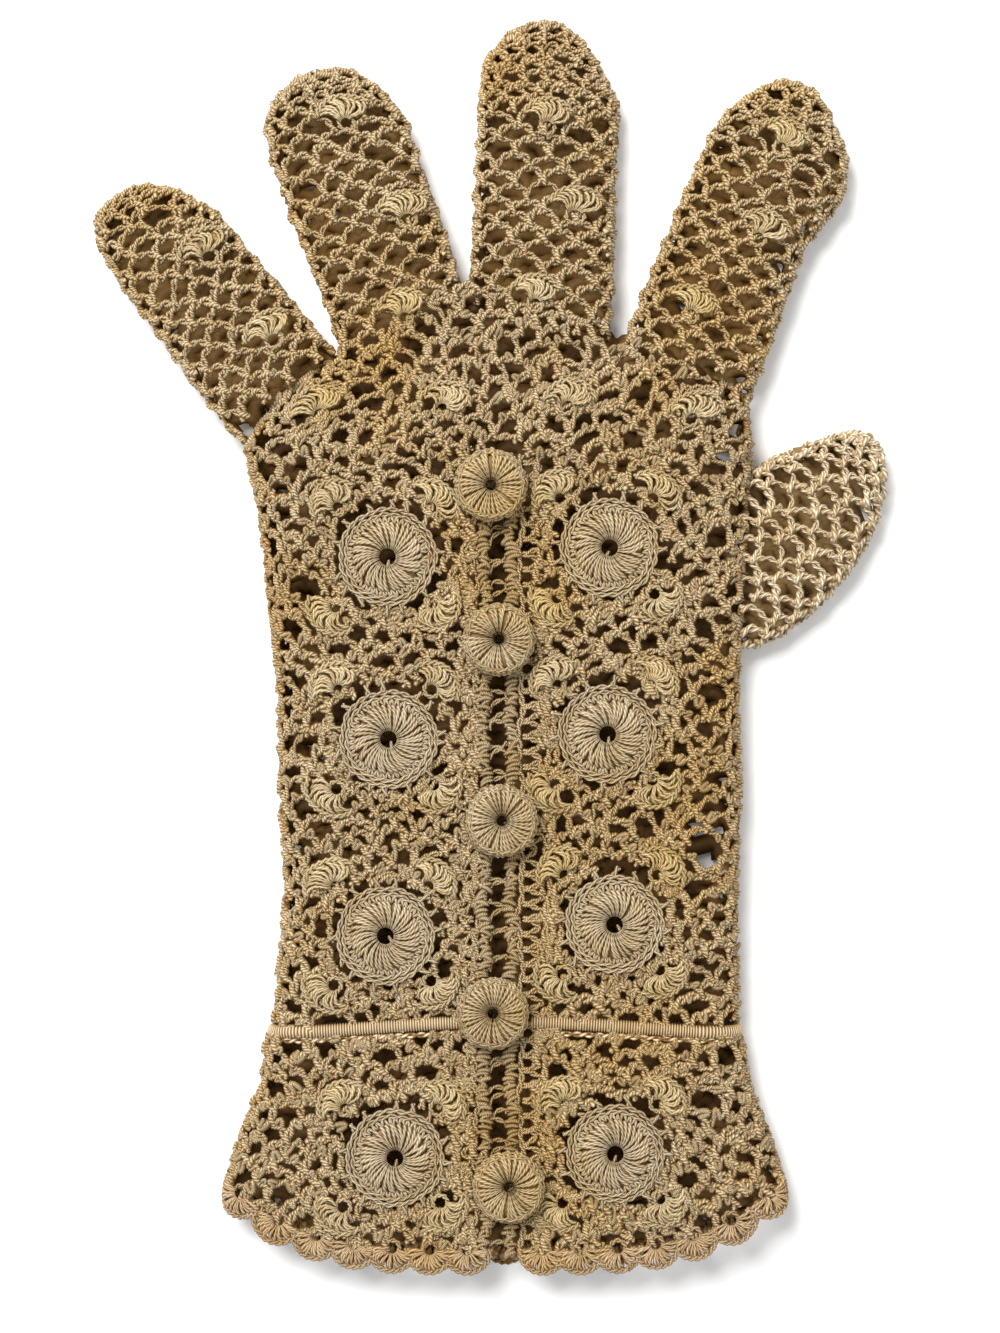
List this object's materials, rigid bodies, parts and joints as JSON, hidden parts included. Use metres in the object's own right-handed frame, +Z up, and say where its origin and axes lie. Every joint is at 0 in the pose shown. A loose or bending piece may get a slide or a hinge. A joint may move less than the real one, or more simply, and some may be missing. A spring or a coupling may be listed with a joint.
{
  "type": "crochet glove",
  "caption": "Crocheted lace glove for the left hand, laid flat, back up: open net, padded round medallions, worked-over buttons down the back, wrapped wrist cord and fan-edged cuff.",
  "frame": {"origin": "on the flat underside of the palm, at the middle of the hand", "axes": "+Y from the cuff toward the fingertips, +X toward the thumb, +Z up out of the back of the hand"},
  "size_m": [0.1632, 0.2574, 0.0168],
  "materials": {
    "net_thread": "mercerised cotton thread, crocheted as an open net, soft sheen, aged to tan",
    "medallion_thread": "thread worked tightly over a padded ring, soft sheen",
    "button_thread": "thread worked tightly over a domed ring, soft sheen",
    "cord_thread": "padding cord wrapped closely with thread"
  },
  "bodies": {
    "root": {"hand": "net_thread", "finger_little": "net_thread", "finger_ring": "net_thread", "finger_middle": "net_thread", "finger_index": "net_thread", "thumb": "net_thread", "cuff": "net_thread", "cuff_hem": "net_thread", "wrist_cord": "cord_thread", "band_left": "net_thread", "band_right": "net_thread", "medallion_1": "medallion_thread", "medallion_2": "medallion_thread", "medallion_3": "medallion_thread", "medallion_4": "medallion_thread", "medallion_5": "medallion_thread", "medallion_6": "medallion_thread", "medallion_7": "medallion_thread", "medallion_8": "medallion_thread", "button_1": "button_thread", "button_2": "button_thread", "button_3": "button_thread", "button_4": "button_thread", "button_5": "button_thread"}
  },
  "joints": []
}
